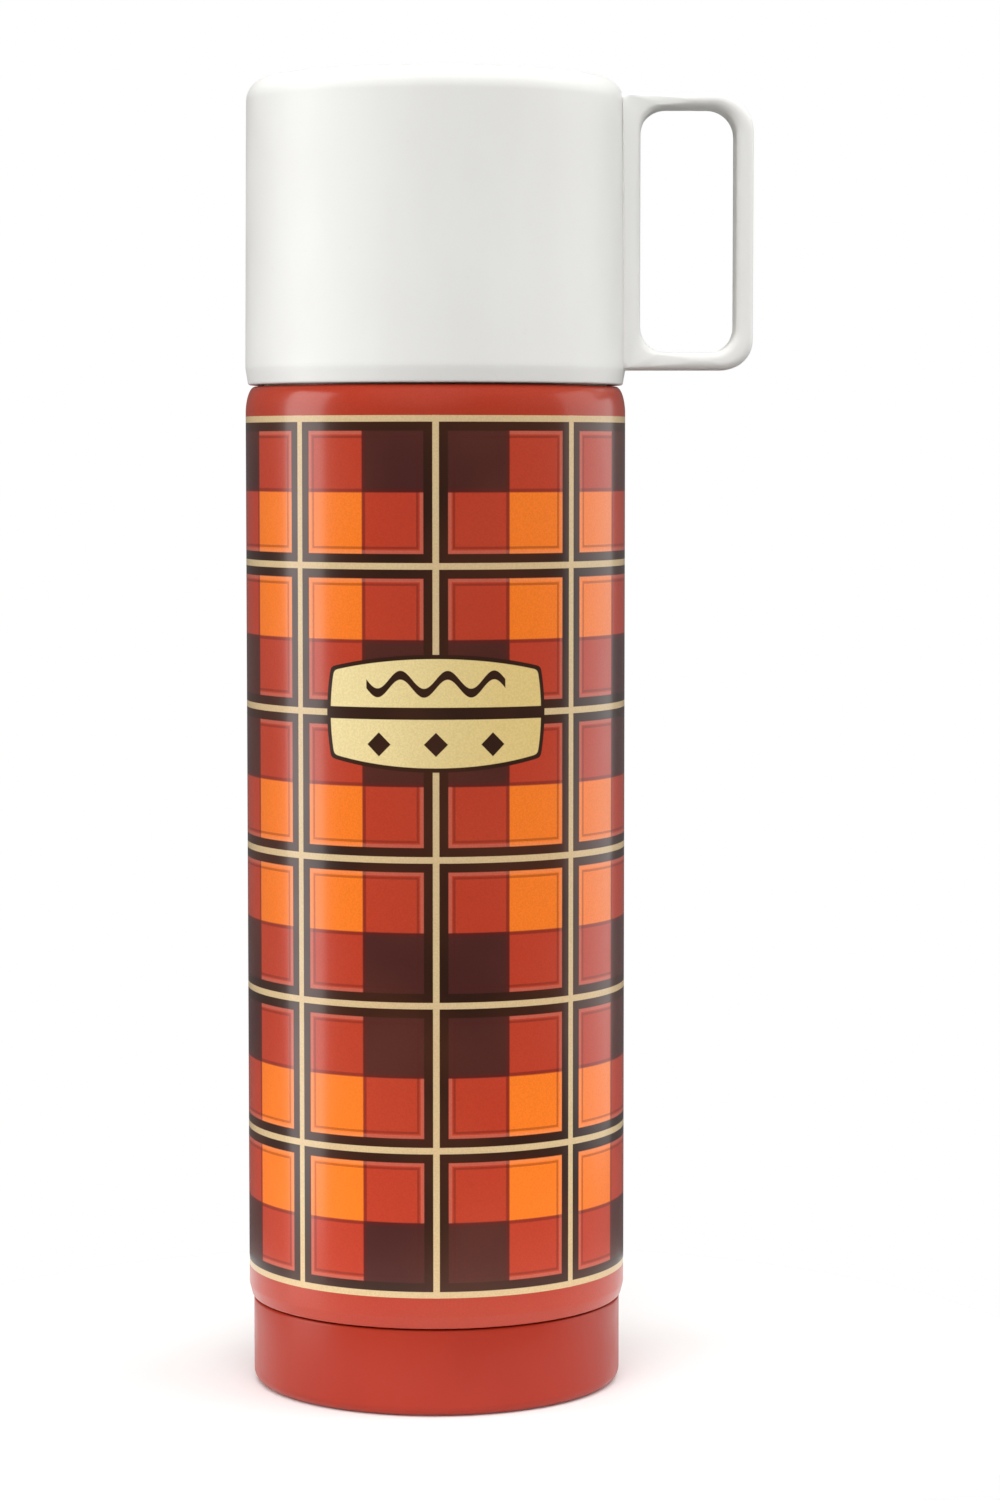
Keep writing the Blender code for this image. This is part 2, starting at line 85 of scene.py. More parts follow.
def rounded(corners, closed):
    """The profile through (radius, z) or (radius, z, fillet) corners, each fillet drawn as an arc."""
    points = []
    for i, corner in enumerate(corners):
        here = Vector(corner[:2])
        end = not closed and i in (0, len(corners) - 1)
        if len(corner) == 2 or end:
            points.append(here)
            continue
        back = (Vector(corners[i - 1][:2]) - here).normalized()
        ahead = (Vector(corners[(i + 1) % len(corners)][:2]) - here).normalized()
        half = back.angle(ahead) / 2
        centre = here + (back + ahead).normalized() * (corner[2] / math.sin(half))
        first = here + back * (corner[2] / math.tan(half)) - centre
        last = here + ahead * (corner[2] / math.tan(half)) - centre
        sweep = first.angle(last)
        steps = max(2, round(math.degrees(sweep) / 12))
        for k in range(steps + 1):
            share = k / steps
            arm = first * math.sin((1 - share) * sweep) + last * math.sin(share * sweep)
            points.append(centre + arm / math.sin(sweep))
    return points


def refined(points, low, high, closed):
    """The profile with extra points between two heights, for a thread or a groove."""
    made = []
    for start, end in zip(points, points[1:] + points[:1]):
        made.append(start)
        last = not closed and start is points[-1]
        if not last and min(start.y, end.y) < high and max(start.y, end.y) > low:
            extra = int((end - start).length / FINE_STEP)
            made += [start.lerp(end, (k + 1) / (extra + 1)) for k in range(extra)]
    return made


def lathe(name, corners, closed=True, fine=None, shape=None, segments=SEGMENTS):
    """A smooth turned solid. An open profile starts and ends on the axis.

    fine is a span of heights that gets close rings, and shape(angle, radius, z) gives the radius
    there, which is how threads, flutes and grooves are made.
    """
    points = rounded(corners, closed)
    if fine:
        points = refined(points, *fine, closed)
    bm = bmesh.new()
    rings = []
    for point in points:
        if point.x < 1e-6:
            rings.append([bm.verts.new((0, 0, point.y * MM))] * segments)
            continue
        ring = []
        for i in range(segments):
            angle = math.tau * i / segments
            radius = shape(angle, point.x, point.y) if shape else point.x
            spot = (radius * math.cos(angle) * MM, radius * math.sin(angle) * MM, point.y * MM)
            ring.append(bm.verts.new(spot))
        rings.append(ring)
    for first, second in zip(rings, rings[1:] + rings[:1] if closed else rings[1:]):
        for i in range(segments):
            k = (i + 1) % segments
            loop = dict.fromkeys((first[i], first[k], second[k], second[i]))
            bm.faces.new(loop)
    return finished(name, bm)


def finished(name, bm, sharp=32):
    """An object from a closed mesh, shaded smooth apart from its sharp edges."""
    bmesh.ops.recalc_face_normals(bm, faces=bm.faces[:])
    mesh = bpy.data.meshes.new(name)
    bm.to_mesh(mesh)
    bm.free()
    mesh.shade_smooth()
    mesh.set_sharp_from_angle(angle=math.radians(sharp))
    obj = bpy.data.objects.new(name, mesh)
    bpy.context.scene.collection.objects.link(obj)
    return obj


def smoothstep(value):
    """0 below 0, 1 above 1, and a soft rise between them."""
    value = min(1.0, max(0.0, value))
    return value * value * (3 - 2 * value)


def ridge_height(thread, angle, z, mating):
    """How far a thread's ridges stand out of their wall, at an angle and a height."""
    lead, starts, turns, height, width, z_start = thread
    if mating:
        z_start += lead / starts / 2
    tallest = 0.0
    for start in range(starts):
        turn = (angle / math.tau - start / starts) % 1.0
        for lap in (turn - 1.0, turn):
            off = abs(z - z_start - lead * lap)
            flank = smoothstep((width / 2 + 0.12 - off) / (0.24 * width + 0.2))
            fade = smoothstep((lap + 0.02) / 0.05) * smoothstep((turns + 0.02 - lap) / 0.05)
            tallest = max(tallest, height * flank * fade)
    return tallest


def threaded(wall_r, thread, inward=False, mating=False):
    """The shape function that puts a thread on the wall of that radius, and on nothing else."""
    side = -1 if inward else 1

    def shape(angle, radius, z):
        if abs(radius - wall_r) > 0.05:
            return radius
        return radius + side * ridge_height(thread, angle, z, mating)

    return shape


# --- Procedural materials -------------------------------------------------------------------------


def linear(red, green, blue):
    """A shader colour from 0-255 display values."""
    shares = [value / 255 for value in (red, green, blue)]
    return (*[s / 12.92 if s <= 0.04045 else ((s + 0.055) / 1.055) ** 2.4 for s in shares], 1.0)


class Finish:
    """A material that is built up node by node around one Principled shader."""

    def __init__(self, name, **constants):
        self.material = bpy.data.materials.new(name)
        self.material.use_nodes = True
        self.tree = self.material.node_tree
        self.shader = self.tree.nodes["Principled BSDF"]
        for socket, value in constants.items():
            self.shader.inputs[socket.replace("_", " ")].default_value = value
        self.spot = self.node("ShaderNodeTexCoord").outputs["Object"]

    def node(self, kind, inputs=None, **settings):
        """A new node, with a link or a constant on each of its named inputs."""
        made = self.tree.nodes.new(kind)
        for key, value in settings.items():
            setattr(made, key, value)
        for key, value in (inputs or {}).items():
            if isinstance(value, bpy.types.NodeSocket):
                self.tree.links.new(value, made.inputs[key])
            else:
                made.inputs[key].default_value = value
        return made

    def math(self, operation, *values):
        return self.node("ShaderNodeMath", dict(enumerate(values)), operation=operation).outputs[0]

    def xyz(self, vector):
        made = self.node("ShaderNodeSeparateXYZ", {0: vector})
        return made.outputs[0], made.outputs[1], made.outputs[2]

    def ramp(self, value, start, end, low=0.0, high=1.0):
        """A smooth step of value between start and end, from low to high."""
        inputs = {"Value": value, "From Min": start, "From Max": end, "To Min": low, "To Max": high}
        made = self.node("ShaderNodeMapRange", inputs, interpolation_type="SMOOTHSTEP")
        return made.outputs[0]

    def mix(self, share, first, second, blend="MIX"):
        made = self.node("ShaderNodeMix", data_type="RGBA", blend_type=blend)
        for socket, value in ((0, share), (6, first), (7, second)):
            if isinstance(value, bpy.types.NodeSocket):
                self.tree.links.new(value, made.inputs[socket])
            else:
                made.inputs[socket].default_value = value
        return made.outputs[2]

    def noise(self, size, detail=2.0, stretch=(1, 1, 1), roughness=0.5):
        """Noise about 0.5, with features about size millimetres across."""
        scale = [share / (size * MM) for share in stretch]
        scaled = self.node("ShaderNodeMapping", {"Vector": self.spot, "Scale": scale})
        inputs = {"Vector": scaled.outputs[0], "Scale": 1.0, "Detail": detail, "Roughness": roughness}
        return self.node("ShaderNodeTexNoise", inputs).outputs["Fac"]

    def cells(self, size, randomness=1.0):
        """Distance to the nearest of scattered points, in cells of about size millimetres."""
        inputs = {"Vector": self.spot, "Scale": 1 / (size * MM), "Randomness": randomness}
        return self.node("ShaderNodeTexVoronoi", inputs).outputs["Distance"]

    def bump(self, height, depth, strength=1.0, over=None):
        """A normal from a height of 0-1 that stands for depth millimetres."""
        inputs = {"Height": height, "Distance": depth * MM, "Strength": strength}
        if over:
            inputs["Normal"] = over
        return self.node("ShaderNodeBump", inputs).outputs[0]

    def use(self, **sockets):
        """The finished material, with these outputs linked to the shader."""
        for socket, value in sockets.items():
            self.tree.links.new(value, self.shader.inputs[socket.replace("_", " ")])
        return self.material


def moulded(name, colour, shade, roughness, grain=0.35, depth=0.012, **constants):
    """Moulded plastic: a fine pebbled skin, faint flow marks, and rubbed patches that shine more."""
    finish = Finish(name, **constants)
    flow = finish.noise(26, 3, (1, 1, 0.45))
    speckle = finish.noise(1.1, 2)
    tone = finish.mix(finish.ramp(flow, 0.3, 0.7), linear(*colour), linear(*shade))
    tone = finish.mix(finish.ramp(speckle, 0.68, 0.8, 0, 0.06), tone, linear(*[c * 0.7 for c in shade]))
    rubbed = finish.noise(11, 2)
    gloss = finish.ramp(rubbed, 0.3, 0.7, roughness - 0.02, roughness + 0.08)
    skin = finish.bump(finish.noise(grain, 3), depth)
    waves = finish.bump(finish.noise(14, 1), 0.02, over=skin)
    return finish.use(Base_Color=tone, Roughness=gloss, Normal=waves)


def rubber(name, colour):
    """Dull moulded rubber with bloom on it and a few pinprick pits."""
    finish = Finish(name, Specular_IOR_Level=0.35)
    bloom = finish.ramp(finish.noise(7, 4), 0.45, 0.75)
    tone = finish.mix(bloom, linear(*colour), linear(*[c + 22 for c in colour]))
    pits = finish.ramp(finish.cells(1.3), 0.0, 0.16)
    skin = finish.bump(pits, 0.05, over=finish.bump(finish.noise(0.5, 3), 0.02))
    return finish.use(Base_Color=tone, Roughness=finish.ramp(bloom, 0, 1, 0.6, 0.85), Normal=skin)


def plated(name):
    """Dull plated steel: turned lines round it, and brown spots where the plating has aged."""
    finish = Finish(name, Metallic=1.0)
    lines = finish.noise(1, 2, (0.02, 0.02, 9))
    spots = finish.ramp(finish.noise(2.4, 5), 0.6, 0.72)
    tone = finish.mix(spots, linear(176, 176, 172), linear(112, 92, 70))
    dulled = finish.math("MULTIPLY", spots, 0.3)
    gloss = finish.math("ADD", finish.ramp(lines, 0.3, 0.7, 0.22, 0.36), dulled)
    return finish.use(Base_Color=tone, Roughness=gloss, Normal=finish.bump(lines, 0.01))


def silvered(name):
    """Mirror-silvered glass, seen through its clear skin, with slow waves from blowing."""
    finish = Finish(name, Metallic=1.0, Coat_Weight=1.0, Coat_Roughness=0.02)
    cloud = finish.ramp(finish.noise(18, 4), 0.5, 0.8)
    tone = finish.mix(cloud, linear(232, 234, 234), linear(196, 190, 176))
    waves = finish.bump(finish.noise(24, 2, (1, 1, 0.4)), 0.25)
    return finish.use(Base_Color=tone, Roughness=finish.ramp(cloud, 0, 1, 0.03, 0.14), Normal=waves)


def foam(name):
    """Expanded white foam, in beads pressed together."""
    finish = Finish(name, Roughness=0.9, Subsurface_Weight=0.15)
    beads = finish.cells(2.2)
    tone = finish.mix(finish.ramp(beads, 0.25, 0.75), linear(240, 238, 230), linear(206, 200, 186))
    return finish.use(Base_Color=tone, Normal=finish.bump(finish.math("SUBTRACT", 1.0, beads), 0.3))


def fibre(name):
    """Grey-white matted mineral fibre."""
    finish = Finish(name, Roughness=0.95, Sheen_Weight=0.2)
    strands = finish.noise(0.5, 5, (1, 0.15, 0.15), 0.7)
    tone = finish.mix(finish.ramp(strands, 0.35, 0.65), linear(150, 146, 136), linear(206, 202, 192))
    return finish.use(Base_Color=tone, Normal=finish.bump(strands, 0.15))


# --- The plaid case -------------------------------------------------------------------------------

PLAID_TOP = 191.5  # height of the highest gold ring
PLAID_RISE = 27.907  # between gold rings
PLAID_RINGS = 7
PLAID_STEP = 28.7  # between the gold lines that run up the case
GOLD_HALF = 0.62
BORDER = 2.35  # from a gold line's middle to the edge of its dark border

PRINT_EDGE = 0.06  # how soft the edge of a printed shape is

PLAQUE_Z = PLAID_TOP - 2 * PLAID_RISE
PLAQUE_HALF = (22.0, 11.2)  # half its width and half its height
PLAQUE_BOW = (1.5, 2.7)  # how far its sides and its top bow out
PLAQUE_BORDER = 0.82
WAVE_Z, WAVE_LENGTH, WAVE_RISE, WAVE_REACH, WAVE_HALF = 5.6, 9.0, 1.7, 13.5, 0.85
BAR_HALF = 1.15
LOZENGE_Z, LOZENGE_PITCH, LOZENGE_REACH, LOZENGE_HALF = -5.9, 11.0, 14.0, 2.3

# Display colours of the printed inks.
GOLD = (216, 190, 144)
INK = (42, 20, 8)
BROWN = (70, 31, 28)
RED = (188, 60, 36)
ORANGE = (252, 126, 32)
# The plain bands are the squares' red painted darker: painted shade for the floor light that they mirror
# less.
SHADED_BAND = (178, 53, 31)  # the plain red above and below the plaid
OVERLAP = (92, 18, 16)  # where two inks meet in the middle of a square
FINE_LINE = (74, 24, 20)
PALE_LINE = (246, 214, 190)
LABEL_INK = (30, 18, 8)


def stripes(finish, along, pitch):
    """How far a point is from the nearest gold line, in millimetres, and its place in the band, 0-1."""
    place = finish.math("PINGPONG", finish.math("DIVIDE", along, pitch), 1.0)
    nearest = finish.math("SUBTRACT", 0.5, finish.math("ABSOLUTE", finish.math("SUBTRACT", place, 0.5)))
    return finish.math("MULTIPLY", nearest, pitch), place


def inside(finish, value, start, end, soft=0.05):
    """1 where value lies between start and end, 0 outside, with edges as soft as print."""
    rising = finish.ramp(value, start - soft, start + soft)
    falling = finish.ramp(value, end - soft, end + soft, 1, 0)
    return finish.math("MULTIPLY", rising, falling)


def beyond(finish, value, half):
    """How far value lies outside the span from -half to half. It is negative inside."""
    return finish.math("SUBTRACT", finish.math("ABSOLUTE", value), half)


def printed(finish, outside, ground, ink):
    """Ink over the ground wherever the distance outside a shape is below 0."""
    return finish.mix(finish.ramp(outside, -PRINT_EDGE, PRINT_EDGE, 1, 0), ground, ink)


def plaid(finish, turn, z):
    """The tartan's colour from the distance round the case and the height, in millimetres."""
    drop = finish.math("SUBTRACT", PLAID_TOP, z)
    from_column, across = stripes(finish, turn, PLAID_STEP)
    from_ring, down = stripes(finish, drop, PLAID_RISE)
    light = [finish.ramp(place, 0.493, 0.507) for place in (across, down)]
    dark_row = finish.mix(light[0], linear(*BROWN), linear(*RED))
    light_row = finish.mix(light[0], linear(*RED), linear(*ORANGE))
    cell = finish.mix(light[1], dark_row, light_row)
    middles = [inside(finish, place, 0.476, 0.5, 0.004) for place in (across, down)]
    overlap = finish.math("MAXIMUM", *middles)
    cell = finish.mix(finish.math("MULTIPLY", overlap, 0.55), cell, linear(*OVERLAP))
    near = finish.math("MINIMUM", from_column, from_ring)
    fine_line = inside(finish, near, 3.25, 3.7)
    cell = finish.mix(finish.math("MULTIPLY", fine_line, 0.45), cell, linear(*FINE_LINE))
    pale = finish.math("MULTIPLY", inside(finish, near, BORDER, 3.0), finish.math("MAXIMUM", *light))
    cell = finish.mix(finish.math("MULTIPLY", pale, 0.10), cell, linear(*PALE_LINE))
    cell = finish.mix(finish.ramp(near, BORDER - 0.12, BORDER + 0.1, 1, 0), cell, linear(*INK))
    cell = printed(finish, finish.math("SUBTRACT", near, GOLD_HALF), cell, linear(*GOLD))
    # Off the plaid the case shows the band red, a darker copy of the squares' red: painted shade.
    half_height = (PLAID_RINGS - 1) / 2 * PLAID_RISE
    off_plaid = beyond(finish, finish.math("SUBTRACT", drop, half_height), half_height + GOLD_HALF)
    return printed(finish, off_plaid, linear(*SHADED_BAND), cell)


def plaque_outline(finish, turn, up):
    """How far a point lies outside the label: a rectangle whose four sides bow out."""
    spot = (turn, up)
    reach = []
    for axis, bow in enumerate(PLAQUE_BOW):
        along = finish.math("DIVIDE", spot[1 - axis], PLAQUE_HALF[1 - axis])
        square = finish.math("POWER", finish.math("ABSOLUTE", along), 2.0)
        curve = finish.math("MULTIPLY", finish.math("SUBTRACT", 1.0, square), bow)
        reach.append(beyond(finish, spot[axis], finish.math("ADD", curve, PLAQUE_HALF[axis] - bow)))
    return finish.math("SMOOTH_MAX", *reach, 1.2)


def plaque(finish, turn, z, ground):
    """A plain cream label over the plaid, painted lighter on its left as a painted sheen, with a border, a
    bar, a wave and three lozenges.
    """
    up = finish.math("SUBTRACT", z, PLAQUE_Z)
    swing = finish.math("SINE", finish.math("MULTIPLY", turn, math.tau / WAVE_LENGTH))
    wave_path = finish.math("MULTIPLY", swing, WAVE_RISE)
    off_path = finish.math("SUBTRACT", finish.math("SUBTRACT", up, WAVE_Z), wave_path)
    wave = finish.math(
        "MAXIMUM", beyond(finish, off_path, WAVE_HALF), beyond(finish, turn, WAVE_REACH)
    )
    from_middle = finish.math("PINGPONG", turn, LOZENGE_PITCH / 2)
    from_row = finish.math("ABSOLUTE", finish.math("SUBTRACT", up, LOZENGE_Z))
    diamond = finish.math("SUBTRACT", finish.math("ADD", from_middle, from_row), LOZENGE_HALF)
    lozenges = finish.math("MAXIMUM", diamond, beyond(finish, turn, LOZENGE_REACH))
    bar = beyond(finish, up, BAR_HALF)
    drawn = finish.math("MINIMUM", finish.math("MINIMUM", wave, bar), lozenges)
    # The cream runs from lighter on the left to darker on the right: a painted sheen, as if lit from the
    # left.
    cream = finish.mix(finish.ramp(turn, -22, 22), linear(244, 226, 166), linear(228, 202, 132))
    face = printed(finish, drawn, cream, linear(*LABEL_INK))
    outside = plaque_outline(finish, turn, up)
    inner_edge = finish.math("ADD", outside, PLAQUE_BORDER)
    face = printed(finish, inner_edge, linear(*LABEL_INK), face)
    return printed(finish, outside, ground, face)


def printed_steel(name):
    """Lithographed steel under clear lacquer: halftone dots, faded patches and a few chips at both ends."""
    finish = Finish(name, Coat_Weight=0.5, Coat_Roughness=0.16, Coat_IOR=1.5, Specular_IOR_Level=0.2)
    x, y, z = finish.xyz(finish.spot)
    height = finish.math("DIVIDE", z, MM)
    angle = finish.math("ARCTAN2", x, finish.math("MULTIPLY", y, -1.0))
    turn = finish.math("MULTIPLY", angle, CASE_R)
    front = plaque(finish, turn, height, plaid(finish, turn, height))
    fade = finish.ramp(finish.noise(34, 2), 0.3, 0.7, 0, 0.06)
    tone = finish.mix(fade, front, linear(214, 120, 84))
    dots = finish.ramp(finish.noise(0.35, 1), 0.3, 0.7, 0.0, 0.10)
    tone = finish.mix(dots, tone, linear(60, 20, 12))
    chips = finish.ramp(finish.noise(0.9, 4), 0.74, 0.77)
    foot = finish.ramp(height, 17.6, 18.6, 1, 0)
    mouth = finish.ramp(height, 196.9, 197.6)
    chipped = finish.math("MULTIPLY", chips, finish.math("ADD", foot, mouth))
    tone = finish.mix(chipped, tone, linear(150, 140, 128))
    gloss = finish.ramp(finish.noise(11, 2), 0.3, 0.7, 0.28, 0.36)
    sheet = finish.bump(finish.noise(30, 1, (1, 1, 0.4)), 0.06)
    skin = finish.bump(finish.noise(0.5, 2), 0.006, over=sheet)
    return finish.use(Base_Color=tone, Roughness=gloss, Normal=skin, Coat_Normal=sheet)


# --- Pieces ---------------------------------------------------------------------------------------

CASE_WALL = 0.5
GLASS_WALL = 1.2
GLASS_DOME_Z = 44.0  # where the filler's round bottom starts
GLASS_SHOULDER_Z = 158.0  # where its shoulder starts to turn in
GLASS_SHOULDER_RISE = 24.0


def place(obj, finish, body, slot, *nodes):
    """Gives a piece its finish and its body, and hides the CAD nodes that it stands for. The slot is not
    used.
    """
    obj.data.materials.append(finish)
    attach(obj, body)
    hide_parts(*nodes)


def build_case(finish):
    """The drawn steel tube, rounded over at the shoulder and turned in at the foot."""
    centre = (35.6, 192.6)
    width, rise = CASE_R - centre[0], CASE_TOP - centre[1]
    outside = ellipse(centre, (width, rise), 90, 0)
    back = ellipse(centre, (width - CASE_WALL, rise - CASE_WALL), 0, 90)
    hem = [(CASE_R, 19.6, 2.0), (36.9, CASE_LOW, 0.5), (36.3, CASE_LOW, 0.2), (36.3, 17.8)]
    hem += [(CASE_R - CASE_WALL, 19.4)]
    corners = [(35.1, CASE_TOP), *outside[:-1], *hem, *back, (35.1, CASE_TOP - CASE_WALL)]
    place(lathe("case", corners), finish, "flask", "plaid_steel", "outer_case")


def build_base_ring(finish):
    """The plated ring inside the foot of the case, with the base's thread in its bore."""
    corners = [(36.7, 28.8), (36.7, 19.6), (35.9, 19.6), (35.9, 28.8)]
    ring = lathe("base_ring", corners, fine=(19, 29), shape=threaded(35.9, BASE_THREAD, inward=True))
    place(ring, finish, "flask", "plated_steel", "case_base_ring")


def build_base(finish):
    """The moulded base cup: a foot ring, a ledge under the case and a threaded spigot."""
    spigot_r, bore_r, ledge = 34.4, 32.9, 17.0
    inside_wall = [(0, 2.6), (32.4, 2.6, 2.4), (34.8, 5.2, 1.5), (34.8, 14.4, 1.2), (bore_r, 16.4, 0.8)]
    spigot = [(bore_r, SPIGOT_TOP, 0.4), (spigot_r, SPIGOT_TOP, 0.4), (spigot_r, ledge)]
    side = [(BASE_R, ledge, 0.5), (BASE_R, 0, 2.2), (31.0, 0, 0.5), (30.4, 0.8, 0.4)]
    foot = [(24.6, 0.8, 0.4), (24.0, 0, 0.5), (0, 0)]
    corners = inside_wall + spigot + side + foot
    base = lathe("base", corners, False, (19.5, 27), threaded(spigot_r, BASE_THREAD, mating=True))
    place(base, finish, "base", "red_plastic", "base_cup")


def build_cushion(finish):
    """The rubber cradle under the filler, with four ribs turned in its side."""
    cradle = ellipse((0, GLASS_DOME_Z), (35.9, 32.6), -66, -36, 16)
    ribs = []
    for i in range(4):
        z = 19.0 - 4.0 * i
        ribs += [(29.5, z, 0.3), (28.7, z - 0.8, 0.3), (28.7, z - 1.6, 0.3), (29.5, z - 2.4, 0.3)]
    top = cradle[-1]
    corners = [(29.5, top[1], 0.3), *ribs, (29.5, 2.9, 0.5), (cradle[0][0], 2.9, 0.5), *cradle]
    place(lathe("cushion", corners), finish, "base_carriage", "black_rubber", "base_cushion")


def glass_side(body_r, neck_r, bottom, shrink=0.0):
    """One face of a glass wall, from the neck down to the middle of the dome."""
    turn_in = (body_r - neck_r, GLASS_SHOULDER_RISE)
    shoulder = ellipse((neck_r - shrink, GLASS_SHOULDER_Z), turn_in, 90, 0, 20)
    dome = ellipse((0, GLASS_DOME_Z), (body_r - shrink, GLASS_DOME_Z - bottom - shrink), 0, -90, 24)
    return shoulder + dome[:-1] + [(0, bottom + shrink)]


def build_glass(finish):
    """The two silvered walls of the filler: the bottle with its rolled lip, and the outer wall's tip."""
    inner = (32.2, 18.4, 16.5)  # radius of the body, radius of the neck, z of the bottom
    lip = [(17.2, 190.6, 0.5), (17.8, 191.2, 0.4), (20.4, 191.2, 0.5), (20.4, 189.9, 0.6)]
    lip += [(18.4, 188.2, 0.8)]
    corners = glass_side(*inner, GLASS_WALL)[::-1] + lip + glass_side(*inner)
    place(lathe("glass_bottle", corners, False), finish, "flask", "silvered_glass", "filler_inner_glass")
    outer = (35.3, 20.6, 12.0)
    tip = [(3.4, 12.0, 0.8), (2.5, 8.4, 1.5), (1.1, 6.0, 0.5), (0, 5.8)]
    neck = [(outer[1] - GLASS_WALL, 188.4, 0.3), (outer[1], 188.4, 0.3)]
    side = [corner for corner in glass_side(*outer) if corner[0] > 4.5 or corner[1] > 100]
    corners = glass_side(*outer, GLASS_WALL)[::-1] + neck + side + tip
    place(lathe("glass_jacket", corners, False), finish, "flask", "silvered_glass", "filler_outer_glass")


def build_pads(finish):
    """Three pressed fibre discs on edge between the glass walls, a third of a turn apart."""
    pad_r, height, middle_r = 3.4, 56.0, 33.15
    for i in range(3):
        angle = math.tau * (i + 0.5) / 3
        bm = bmesh.new()
        bmesh.ops.create_circle(bm, cap_ends=False, segments=40, radius=pad_r)
        hoop = bm.verts[:]
        rows = [hoop]
        for share, depth in ((1.0, 0.35), (0.94, 0.42), (0.7, 0.44), (0.4, 0.44)):
            rows.append([bm.verts.new((v.co.x * share, v.co.y * share, depth)) for v in hoop])
        rows.append([bm.verts.new((0, 0, 0.44))] * len(hoop))
        for first, second in zip(rows, rows[1:]):
            for k in range(len(hoop)):
                n = (k + 1) % len(hoop)
                bm.faces.new(dict.fromkeys((first[k], first[n], second[n], second[k])))
        mirrored = bmesh.ops.duplicate(bm, geom=bm.verts[:] + bm.edges[:] + bm.faces[:])["geom"]
        for vert in [v for v in mirrored if isinstance(v, bmesh.types.BMVert)]:
            vert.co.z = -vert.co.z
        bmesh.ops.remove_doubles(bm, verts=bm.verts[:], dist=0.001)
        turned = Matrix.Rotation(angle, 4, "Z") @ Matrix.Translation((middle_r, 0, height))
        upright = Matrix.Rotation(math.pi / 2, 4, "Y")
        bmesh.ops.transform(bm, matrix=Matrix.Scale(MM, 4) @ turned @ upright, verts=bm.verts[:])
        pad = finished(f"fibre_pad_{i + 1}", bm)
        place(pad, finish, "flask", "mineral_fibre", f"spacer_pad_{i + 1}")


def build_filler_seats(black, foam_finish):
    """What holds the glass: the thimble over its tip, the foam ring at its shoulder and the lip gasket."""
    guard = [(0, 5.3), (3.2, 5.3, 0.6), (3.8, 9.8, 0.3), (5.9, 9.8, 0.4), (6.2, 3.0, 0.7), (0, 3.0)]
    place(lathe("tip_thimble", guard, False, segments=64), black, "flask", "black_rubber", "tip_guard")
    seat = ellipse((20.6, GLASS_SHOULDER_Z), (15.2, 24.5), 23, 61, 16)
    ring = [(36.5, seat[-1][1], 1.0), (36.5, seat[0][1], 0.8), *seat]
    place(lathe("foam_ring", ring), foam_finish, "flask", "white_foam", "centring_ring")
    cap = [(23.0, 192.3, 0.5), (23.0, 186.0, 0.3), (20.9, 186.0, 0.3), (20.9, 191.5), (17.5, 191.5, 0.3)]
    place(lathe("lip_gasket", cap + [(17.5, 192.3, 0.3)]), black, "flask", "black_rubber", "neck_gasket")


def build_collar(finish):
    """The moulded neck: cup thread outside, stopper thread inside, pouring lip on top."""
    bore_r, wall_r, deck, low = 22.0, 33.8, 209.6, 192.6
    lip = [(23.4, 213.2, 0.5), (24.3, 212.6, 0.5), (25.0, deck, 1.0)]
    outside_wall = [(wall_r, deck, 0.9), (wall_r, 195.0, 0.5)]
    flange = [(36.1, 194.6, 0.4), (36.6, 193.4, 0.4), (36.6, 191.8)]
    hollow = [(32.0, 191.8), (32.0, 208.0, 0.5), (23.9, 208.0, 0.5), (23.9, low)]
    ledge = [(18.6, low), (18.6, 194.2, 0.2), (bore_r, 194.2), (bore_r, 212.5, 0.5)]
    on_outside = threaded(wall_r, CUP_THREAD)
    on_bore = threaded(bore_r, STOPPER_THREAD, inward=True)

    def both(angle, radius, z):
        return on_outside(angle, radius, z) if radius > 28 else on_bore(angle, radius, z)

    corners = lip + outside_wall + flange + hollow + ledge
    collar = lathe("neck_collar", corners, True, (195.4, 210), both)
    place(collar, finish, "flask", "ivory_plastic", "collar")


def build_ring_seals(grey, black):
    """The soft rings: collar to case, stopper to ledge, and cup to collar deck."""
    collar_seal = [(35.0, 197.1, 0.2), (35.9, 195.7, 0.2), (34.4, 196.0, 0.2), (34.1, 197.1, 0.2)]
    place(lathe("collar_ring", collar_seal), grey, "flask", "grey_rubber", "collar_seal")
    low, high = 194.5, 196.7
    bead = [(20.0, high, 0.5), (20.0, low, 0.5), (18.9, low, 0.3), (18.5, low + 0.4, 0.3), (18.0, low, 0.3)]
    bead += [(16.9, low, 0.5), (16.9, high, 0.5)]
    place(lathe("stopper_ring", bead), black, "stopper_core", "black_rubber", "stopper_gasket")
    low, high = 209.9, 211.6
    flat = [(33.8, high, 0.4), (33.8, low, 0.4), (31.4, low, 0.2), (31.0, low + 0.4, 0.2)]
    flat += [(30.0, low + 0.4, 0.2), (29.6, low, 0.2), (27.1, low, 0.4), (27.1, high, 0.4)]
    place(lathe("cup_ring", flat), grey, "cup_inner", "grey_rubber", "cup_gasket")


def fluted(angle, radius, z):
    """The lid's side, cut by round flutes above its skirt."""
    flutes, flute_r, cut, low, inner_r = 10, 3.2, 1.3, 215.2, 15.6
    if radius < inner_r or z < low:
        return radius
    pitch = math.tau / flutes
    off = ((angle / pitch) % 1.0 - 0.5) * pitch
    centre = LID_R + flute_r - cut
    aside = centre * math.sin(off)
    depth = centre * math.cos(off) - math.sqrt(max(0.0, flute_r**2 - aside**2))
    limit = depth if abs(aside) < flute_r else radius
    sunk = smoothstep((z - low) / 0.8)
    return radius + (min(radius, limit) - radius) * sunk


